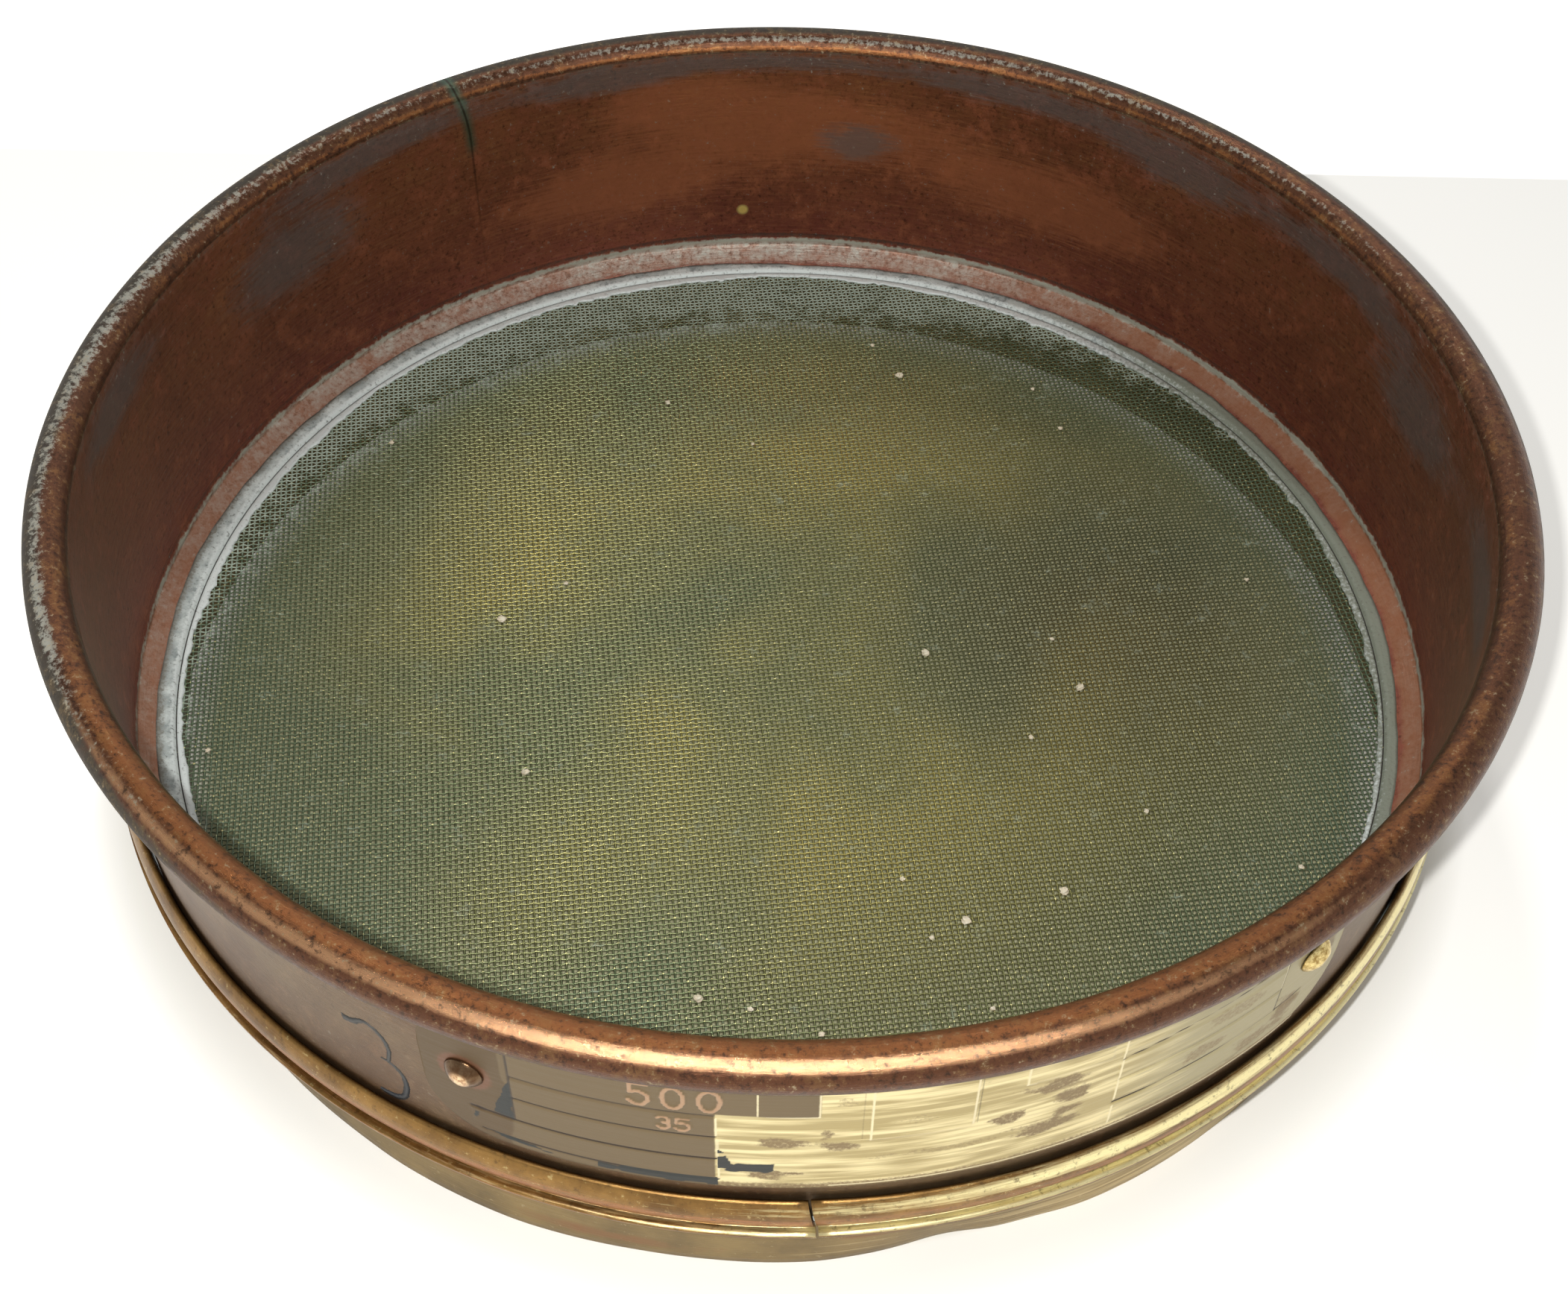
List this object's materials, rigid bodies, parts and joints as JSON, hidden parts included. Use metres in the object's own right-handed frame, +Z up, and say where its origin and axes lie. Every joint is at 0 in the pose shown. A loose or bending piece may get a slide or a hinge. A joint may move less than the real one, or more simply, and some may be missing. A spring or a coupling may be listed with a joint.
{
  "type": "test sieve",
  "caption": "Round brass laboratory test sieve with a rolled rim, fine woven wire cloth, a nesting skirt with a seating ring, and a riveted nameplate.",
  "frame": {"origin": "centre of the skirt's bottom edge, on the sieve's axis", "axes": "+Z up the sieve's axis, towards the open rim; -Y is the front, with the nameplate"},
  "size_m": [0.212, 0.212, 0.0616],
  "materials": {
    "frame_brass": "tarnished to a copper brown",
    "ring_brass": "golden, lightly tarnished",
    "skirt_brass": "dull olive tarnish",
    "cloth_wire": "woven wire, olive",
    "solder": "dull grey soft solder",
    "plate_brass": "brushed, partly tarnished brown",
    "rivet_brass": "hammered"
  },
  "bodies": {
    "root": {"upper_frame": "frame_brass", "wire_cloth": "cloth_wire", "skirt": "skirt_brass", "joint_ring": "ring_brass", "cloth_solder": "solder", "seam_solder": "solder", "ring_solder": "solder", "nameplate": "plate_brass", "rivet_left": "rivet_brass", "rivet_right": "rivet_brass"}
  },
  "joints": []
}
